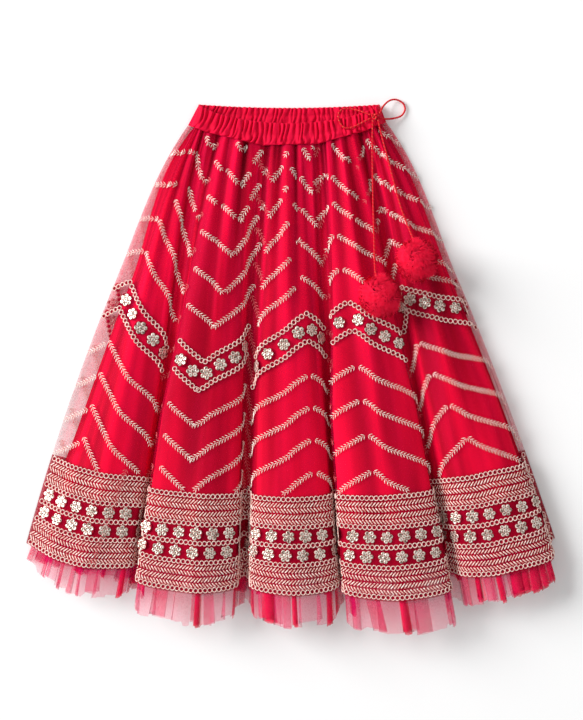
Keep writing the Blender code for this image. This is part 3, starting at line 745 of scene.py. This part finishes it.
front_thread = embroider(skin, "", 0.15, 1.0, zigzag_runs, border_lines(0.015, 900))
veiled = [line for level in LEAF_ROWS + BAND_CHAINS for line in zigzag_runs(level, VEILED_ARMS)]
front_thread.append(leaves("veiled_stitches", skin, veiled, 0.05, 0.6, veiled_thread))
# The seam between two of the net's panels, sewn down over the border in red
seam_v = np.linspace(0.78, 0.995, 60)
seam_line = [(np.interp(seam_v, (0.78, 1.0), SEAM_AT), seam_v)]
front_thread.append(leaves("panel_seam", skin, seam_line, 0.5, 0.6, veiled_thread))


def back_net(share, v):
    """The back, which lies flat on the surface."""
    return back(NET_LEFT, NET_RIGHT, np.asarray(share) / FOLDS, v, BACK_NET_Z)


def back_under(share, v):
    """The underside of the back, as a surface whose normals face down."""
    return back_net(FOLDS - np.asarray(share), v)


def back_runs(level, panels=7):
    """The back lies flat, so its zigzag is even, with one peak to a panel."""
    for i in range(2 * panels):
        s = np.linspace(i / 2 / panels, (i + 1) / 2 / panels, 60) * FOLDS
        depth = np.interp(level, LEVELS, (0.10, 0.11, 0.12, 0.125))
        drop = depth * (1 - np.abs(s / FOLDS * panels % 1.0 - 0.5) * 2)
        if i % 2 == 1:
            drop[-1] = 0.0
            s, drop = s[::-1], drop[::-1]
        v = level + drop
        keep = (v > EDGE) & (v < BORDER - EDGE) & (s > 0.03) & (s < FOLDS - 0.03)
        yield from stretches(s, v, keep)


def back_sheet(name, left, right, z, start, end, rows, material, slot):
    share, v = np.meshgrid(np.linspace(0, 1, 97), np.linspace(start, end, rows))
    points = back(left, right, share, v, z)
    made = sheet(name + "_cloth", points, material, slot)
    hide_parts(name)
    return made, points


net_back, net_back_points = back_sheet(
    "net_back", NET_LEFT, NET_RIGHT, BACK_NET_Z, 0.0, BORDER - SEAM_GAP, 40, net, "net")
border_back, border_back_points = back_sheet(
    "border_back", NET_LEFT, NET_RIGHT, BACK_NET_Z, BORDER + SEAM_GAP, 1.0, 10, net_border, "border")
lining_back, lining_back_points = back_sheet(
    "lining_back", LINING_LEFT, LINING_RIGHT, BACK_LINING_Z, 0.0, LINING_END, 30, satin, "lining")
back_thread = embroider(back_under, "_back", 0.05, 0.55, back_runs, border_lines(0.03, 400))


BUNCHED_FROM = 0.86  # of the width


def pleats(count, seed):
    """Flat pleats of 1, 3 or 5 layers. Each fold line has its share of the width at the top and at the hem,
    its layer, where its hem ends, and whether it's in a thick bunch."""
    random = np.random.default_rng(seed)
    widths = random.uniform(0.55, 1.45, count)
    starts = np.concatenate([[0], np.cumsum(widths)]) / widths.sum()
    rows = []
    for a, b in zip(starts, starts[1:]):
        layers = random.choice([1, 1, 3, 3, 5] if a < BUNCHED_FROM else [3, 5, 5])
        width = b - a
        reach = random.uniform(-0.007, 0.006) - (0.012 if a > BUNCHED_FROM else 0)
        twist = random.uniform(-0.35, 0.35)
        for layer in range(layers):
            low = a + width * random.uniform(0, 0.3) * (layer > 0)
            high = b - width * random.uniform(0, 0.3) * (layer > 0)
            flare = random.uniform(-0.3, 0.3) * width * (layer > 0)
            ends = (low, high) if layer % 2 == 0 else (high, low)
            for k in (0.0, 0.5, 1.0):
                place = ends[0] + (ends[1] - ends[0]) * k
                hem = place + flare + twist * width
                end = reach + 0.002 * layer + random.uniform(-0.0015, 0.0015)
                rows.append((place, hem, layer + 0.3 * k, end, layers == 5))
    return np.array(rows).T


FRILL_TOP = LINING_END + 0.001


def frill(name, place, normal, count, seed, end, gap):
    shares, hem_shares, layers, reaches, bunched = pleats(count, seed)
    rows = []
    for step in np.linspace(0, 1, 9):
        share = np.clip(shares + (hem_shares - shares) * step, 0.001, 0.999)
        v = FRILL_TOP + (end + reaches - 0.014 * np.abs(2 * share - 1) ** 6 - FRILL_TOP) * step
        lift = np.clip(np.minimum(share, 1 - share) / 0.03, 0.15, 1.0)
        waver = 0.9 * np.sin(share * 2 * PI * 17 + 2) * step
        s = share * FOLDS
        sunk = (layers * gap * (0.5 + 0.8 * step) - waver) * lift
        rows.append(place(s, v) - normal(s, v) * sunk[:, None])
    points = np.array(rows)
    points[..., 2] = np.maximum(points[..., 2], LOWEST_FRILL)
    which = np.tile(bunched[:-1].astype(int), len(points) - 1)
    size = points.shape[:2]
    materials = [frill_net, frill_bunch]
    made = make(name + "_cloth", points, grid_faces(*size), materials, "frill", grid_uv(*size), which)
    set_painted_shade(made, 0.8)
    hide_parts(name)
    return made, points


frill_front, frill_front_points = frill("frill_front", inner, cad_normal, 112, 5, FRILL_END, 0.55)


def back_frill_place(s, v):
    return back(LINING_LEFT, LINING_RIGHT, s / FOLDS, v, BACK_FRILL_Z)


def upright(s, v):
    return np.tile((0.0, 0.0, 1.0), (len(s), 1))


frill_back, frill_back_points = frill("frill_back", back_frill_place, upright, 84, 9, FRILL_END - 0.012, 0.4)


# The waistband: one casing, from its rim to the seam where the net starts
RIM_LEFT, RIM_RIGHT = np.array([-111.4, 299.3]), np.array([102.1, 299.3])
BAND_GATHERS, SEAM_GATHERS = 36, 23
CASING = 1.6  # how far the inside lies within the outside
SEAM_S = np.linspace(0, FOLDS, 600)
SEAM = outer(SEAM_S, np.zeros(600))


def ruche(share, level, seed, count):
    """Uneven gathers with sharp creases between them."""
    random = np.random.default_rng(seed)
    jitter = np.interp(share * count, np.arange(count + 1), random.uniform(-0.42, 0.42, count + 1))
    size = np.interp(share * count, np.arange(count + 1), random.uniform(0.35, 1.0, count + 1))
    lean = 0.22 * np.sin(level * 3 + share * 17 + seed) + 0.1 * np.sin(level * 9 + share * 61)
    return size * (1 - np.abs(np.cos(PI * (share * count + jitter + lean))) ** 4)


def gathers(share, level, seed):
    """Fine gathers at the rim that run together into wider ones at the seam."""
    blend = np.clip(level * 1.5 - 0.25, 0, 1)
    fine = ruche(share, level, seed, BAND_GATHERS)
    wide = ruche(share, level, seed + 9, SEAM_GATHERS)
    held = 1 - 0.45 * np.exp(-(((level - 0.36) / 0.07) ** 2)) - 0.5 * np.exp(-(((level - 1.0) / 0.08) ** 2))
    return (fine * (1 - blend) + wide * blend) * held


def band_point(level, share, front, inset):
    left = RIM_LEFT + (NET_LEFT[0] - RIM_LEFT) * level + (inset, 0)
    right = RIM_RIGHT + (NET_RIGHT[0] - RIM_RIGHT) * level - (inset, 0)
    x = left[0] + (right[0] - left[0]) * share
    near = np.clip(np.minimum(x - left[0], right[0] - x) / (6.0 - inset), 0, 1)
    ease = np.sqrt(np.clip(1 - (1 - near) ** 2, 0, 1))
    arch = 4 * share * (1 - share)
    wave = np.clip(8 * arch, 0, 1)
    straight = left[1] + (right[1] - left[1]) * share
    if front:
        seam_y, seam_z = np.interp(x, SEAM[:, 0], SEAM[:, 1]), np.interp(x, SEAM[:, 0], SEAM[:, 2])
        y = straight - 23.5 * arch**0.7
        y = y + (seam_y + 0.3 - y) * level
        top = np.maximum(8.0, 14.0 + (seam_z - 14.0) * level) + 1.4 * np.sin(PI * np.clip(level, 0, 1))
        z = 4.0 + (top - inset - 4.0) * ease + (gathers(share, level, 3) * 5.0 - 1.6) * wave
        y = y + 0.3 * np.sin(2 * PI * share * BAND_GATHERS) * (1 - level) * wave
    else:
        y = straight - (4.0 + 2.4 * level) * arch + 0.3 * level
        z = 4.0 + (inset - 4.0) * ease + gathers(share, level, 4) * 3.2 * wave * (inset > 0)
        y = y + 0.3 * np.sin(2 * PI * share * BAND_GATHERS + 1) * (1 - level) * wave
    return np.stack([x, y, z], -1) + PLAN_SHIFT


share = np.concatenate([
    [0.0, 0.001, 0.003, 0.007], np.linspace(0.012, 0.988, 560), [0.993, 0.997, 0.999, 1.0],
])
homeward = share[-2:0:-1]
levels = np.linspace(0, 1, 17)
outside, inside = (
    np.array([np.concatenate([band_point(k, share, True, inset), band_point(k, homeward, False, inset)])
              for k in levels])
    for inset in (0.0, CASING)
)
rounded = (outside[:1] + inside[:1]) / 2 + (0, 0.7, 0)
band_rows = np.concatenate([inside[::-1], rounded, outside])
band_faces = grid_faces(*band_rows.shape[:2], ring=True)
band_mesh = make("waistband_cloth", band_rows, band_faces, [band_satin], "waistband")
# Painted shade between the waistband's gathers: darker where they are low, lighter on their crests.
height = np.array([np.concatenate([gathers(share, k, 3), gathers(homeward, k, 4)]) for k in levels])
set_painted_shade(band_mesh, np.concatenate([height[::-1], height[:1], height]) * 0.4 + 0.46)
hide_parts("waistband")

# The drawstring's diameter and its routes as seen from above (millimetres)
DIAMETER = 2.4
TAIL_STOP = 19.0  # from a pompom's middle
ROUTE_SPACING, TOUCH, SETTLINGS = 0.5, 1.4, 8
LEFT_TAIL = ((93.2, 279.6), (92.8, 250.0), (93.2, 215.0), (93.6, 180.0), (94.6, 140.0), (95.4, 101.0))
RIGHT_TAIL = ((99.3, 280.2), (104.5, 258.0), (110.5, 235.0), (117.5, 208.0), (125.0, 180.0), (132.0, 160.0),
              (138.4, 142.0))
LEFT_LOOP = ((90.4, 285.6), (76.0, 291.5), (62.0, 294.0), (54.0, 289.5), (53.6, 279.5), (60.0, 270.8),
             (70.0, 271.5), (80.0, 276.2), (90.8, 281.7))
RIGHT_LOOP = ((101.2, 286.6), (106.0, 297.0), (113.5, 304.0), (121.5, 305.5), (129.5, 301.5), (132.0, 294.0),
              (127.5, 286.5), (118.0, 283.0), (109.5, 281.6), (101.3, 281.8))


def tree_of(piece):
    mesh = piece.data
    points = [vertex.co[:] for vertex in mesh.vertices]
    return BVHTree.FromPolygons(points, [polygon.vertices[:] for polygon in mesh.polygons])


GROUND = [tree_of(piece) for piece in (net_front, border_front, band_mesh, *front_thread)]


def ground(x, y, around):
    """The height of what lies highest at a place and at eight places round it."""
    highest = 0.0
    for step in range(9):
        reach = 0.0 if step == 8 else around
        turn = step * PI / 4
        start = Vector(((x + reach * np.cos(turn)) * MM, (y + reach * np.sin(turn)) * MM, 0.2))
        for tree_item in GROUND:
            hit = tree_item.ray_cast(start, Vector((0, 0, -1)))[0]
            if hit is not None:
                highest = max(highest, hit.z / MM)
    return highest


def smooth_route(points, spacing):
    """A Catmull-Rom curve through the points."""
    points = [np.array(p, float) for p in points]
    ends = [2 * points[0] - points[1], *points, 2 * points[-1] - points[-2]]
    route = []
    for a, b, c, d in zip(ends, ends[1:], ends[2:], ends[3:]):
        count = max(2, int(np.ceil(np.linalg.norm(c - b) / spacing)))
        for t in np.arange(count) / count:
            bend = (c - a) * t + (2 * a - 5 * b + 4 * c - d) * t**2 + (3 * b - a - 3 * c + d) * t**3
            route.append(b + 0.5 * bend)
    return np.array([*route, points[-1]])


def lying(plan, start_z, end_z):
    """A route along the plan that rests on what is highest and spans the hollows between."""
    route = smooth_route([(x + PLAN_SHIFT[0], y + PLAN_SHIFT[1]) for x, y in plan], 2.2 * DIAMETER)
    floors = np.array([ground(x, y, TOUCH) + DIAMETER / 2 for x, y in route])
    floors[0], floors[-1] = start_z, end_z
    heights = floors.copy()
    for _ in range(SETTLINGS):
        for i in range(1, len(route) - 1):
            heights[i] = max(floors[i], (heights[i - 1] + heights[i + 1]) / 2)
    return smooth_route(np.column_stack([route, heights]), ROUTE_SPACING)


def twisted(name, route, pitch=4.6, sides=12, gold=0.72):
    """A two-ply cord: a round tube with a spiral groove, and a thin gold strand along one ply."""
    ahead = unit(np.gradient(route, axis=0))
    up = np.tile((0.0, 0.0, 1.0), (len(route), 1))
    side = unit(np.cross(ahead, up))
    up = np.cross(side, ahead)
    travelled = np.concatenate([[0], np.cumsum(np.linalg.norm(np.diff(route, axis=0), axis=1))])
    turn = np.linspace(0, 2 * PI, sides, endpoint=False)
    spin = travelled[:, None] / pitch * 2 * PI
    radius = DIAMETER / 2 * (0.9 + 0.1 * np.cos(2 * turn))[None]
    angle = turn[None] + spin
    outward = np.cos(angle)[..., None] * side[:, None] + np.sin(angle)[..., None] * up[:, None]
    points = route[:, None] + radius[..., None] * outward
    faces = grid_faces(len(route), sides, ring=True)
    ply = (np.cos(turn + PI / sides) > gold).astype(int)
    which = np.tile(ply, len(route) - 1)
    made = make(name, points, faces, [cord_red, cord_gold], "drawstring", which=which)
    return made, travelled[-1]


knot_low, knot_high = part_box("bow_knot")
knot_middle = (np.array(knot_low) + np.array(knot_high)) / 2 / MM
t = np.linspace(0, 2 * PI, 260, endpoint=False)
knot_route = np.column_stack([
    knot_middle[0] + 1.35 * (np.sin(t) + 1.9 * np.sin(2 * t)),
    knot_middle[1] + 1.05 * (np.cos(t) - 1.9 * np.cos(2 * t)),
    knot_middle[2] - 1.5 * np.sin(3 * t),
])
knot, _ = twisted("bow_knot_cord", knot_route)
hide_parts("bow_knot")


GOLDEN_ANGLE = 2.39996
CORE_ROWS, CORE_COLUMNS = 24, 40


def pompom(name, node, seed, count=8000):
    """A soft ball of fine strips of net. They lean over in tufts, round a rough core of the same."""
    low, high = (np.array(corner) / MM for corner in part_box(node))
    middle, half = (low + high) / 2, (high - low) / 2
    random = np.random.default_rng(seed)
    z = 1 - 2 * (np.arange(count) + 0.5) / count
    turn = np.arange(count) * GOLDEN_ANGLE
    heading = np.stack([np.sqrt(1 - z * z) * np.cos(turn), np.sqrt(1 - z * z) * np.sin(turn), z], -1)
    x, y, z = heading.T
    tuft = np.stack([np.sin(5 * y + 3 * z + seed), np.sin(5 * z + 4 * x), np.sin(6 * x + 3 * y + 2)], -1)
    lean = tuft + random.normal(0, 0.55, (count, 3))
    lean = unit(lean - heading * (lean * heading).sum(-1, keepdims=True))
    side = np.cross(heading, lean)
    reach = random.uniform(0.92, 1.07, count) + 0.13 * (random.uniform(0, 1, count) > 0.85)
    width, fall = random.uniform(0.012, 0.03, count), random.uniform(0.15, 0.5, count)
    rows = []
    for k in (0.0, 0.4, 0.75, 1.0):
        place = heading * (0.72 + (reach - 0.72) * np.sin(PI / 2 * k))[:, None]
        place = place + lean * (fall * k**1.4)[:, None]
        place = place * (reach / np.maximum(np.linalg.norm(place, axis=1), reach))[:, None]
        for w in (-1, 1):
            rows.append(place + side * (width * w * (1 - 0.75 * k))[:, None])
    strands = np.stack(rows, 1).reshape(-1, 3)
    strand_faces = repeated(grid_faces(4, 2), 8, count)
    rise = np.linspace(-1.5, 1.5, CORE_ROWS)[:, None]
    spin = np.linspace(0, 2 * PI, CORE_COLUMNS, endpoint=False)[None]
    swell = 0.86 + 0.03 * np.sin(7 * spin + 5 * rise) * np.cos(6 * rise + seed)
    core = np.stack([np.cos(rise) * np.cos(spin), np.cos(rise) * np.sin(spin), np.sin(rise) + 0 * spin], -1)
    core = (core * swell[..., None]).reshape(-1, 3)
    local = np.concatenate([strands, core])
    points = middle + local * half
    points[:, 2] = np.maximum(points[:, 2], low[2] + 0.3)
    core_faces = grid_faces(CORE_ROWS, CORE_COLUMNS, ring=True) + len(strands)
    polygons = np.concatenate([strand_faces, core_faces])
    made = make(name, points, polygons, [fluff], "pompom")
    # the strips are lit as the ball is, so that it looks soft
    rough = np.concatenate([random.normal(0, 0.22, strands.shape), 0 * core])
    soft = unit(local + (-0.15, 0.0, 0.55) + rough)
    if len(made.data.vertices) == len(soft):
        made.data.normals_split_custom_set_from_vertices(soft.tolist())
    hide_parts(node)
    return made, middle


left_ball, left_middle = pompom("pompom_left_net", "pompom_left", 21)
right_ball, right_middle = pompom("pompom_right_net", "pompom_right", 22)


def cord(name, plan, end_z, far_end, **more):
    """A run of the drawstring from the knot along its plan, over what lies under it."""
    route = lying(plan, knot_middle[2], end_z)
    made, length = twisted(name + "_twist", route)
    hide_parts(name)


def tail(name, plan, middle, on_it):
    """A tail goes on a little way into its pompom."""
    heading = unit(middle[:2] - np.array(plan[-1]) - PLAN_SHIFT[:2])
    last = middle[:2] - heading * TAIL_STOP - PLAN_SHIFT[:2]
    cord(name, (*plan, tuple(last)), middle[2], "fitting", with_pieces=on_it)


tail("cord_tail_left", LEFT_TAIL, left_middle, [left_ball, knot])
tail("cord_tail_right", RIGHT_TAIL, right_middle, [right_ball])
cord("cord_loop_left", LEFT_LOOP, knot_middle[2], "object")
cord("cord_loop_right", RIGHT_LOOP, knot_middle[2], "object")


def state(piece, points, ring=False):
    """Works out the longest row across a sheet and its length down the middle."""
    rows = np.concatenate([points, points[:, :1]], axis=1) if ring else points
    width = np.linalg.norm(np.diff(rows, axis=1), axis=2).sum(1).max() * MM
    length = np.median(np.linalg.norm(np.diff(points, axis=0), axis=2).sum(0)) * MM


state(net_front, skin(s_net, v_net))
state(border_front, skin(s_border, v_border))
state(lining_front, lining_points)
state(net_back, net_back_points)
state(border_back, border_back_points)
state(lining_back, lining_back_points)
state(frill_front, frill_front_points)
state(frill_back, frill_back_points)
state(band_mesh, band_rows, ring=True)

# The floor and the light
bpy.ops.mesh.primitive_plane_add(size=12.0, location=(0, 0, -0.0003))
floor = bpy.context.object
floor.name = "floor"
floor_material, _, _ = shader("floor", (0.95, 0.95, 0.95), 0.95)
floor.data.materials.append(floor_material)


def lamp(name, place, size, power):
    data = bpy.data.lights.new(name, "AREA")
    data.size = size
    data.energy = power
    made = bpy.data.objects.new(name, data)
    bpy.context.scene.collection.objects.link(made)
    made.location = place
    made.rotation_euler = (-Vector(place)).to_track_quat("-Z", "Y").to_euler()


lamp("key", (-6.4, 2.8, 4.0), 4.4, 830)
lamp("fill", (1.6, -1.0, 2.6), 2.5, 8)
world = bpy.data.worlds.new("studio")
world.use_nodes = True
world.node_tree.nodes["Background"].inputs["Color"].default_value = (1, 1, 1, 1)
world.node_tree.nodes["Background"].inputs["Strength"].default_value = 0.46
bpy.context.scene.world = world
bpy.context.scene.view_settings.view_transform = "Standard"
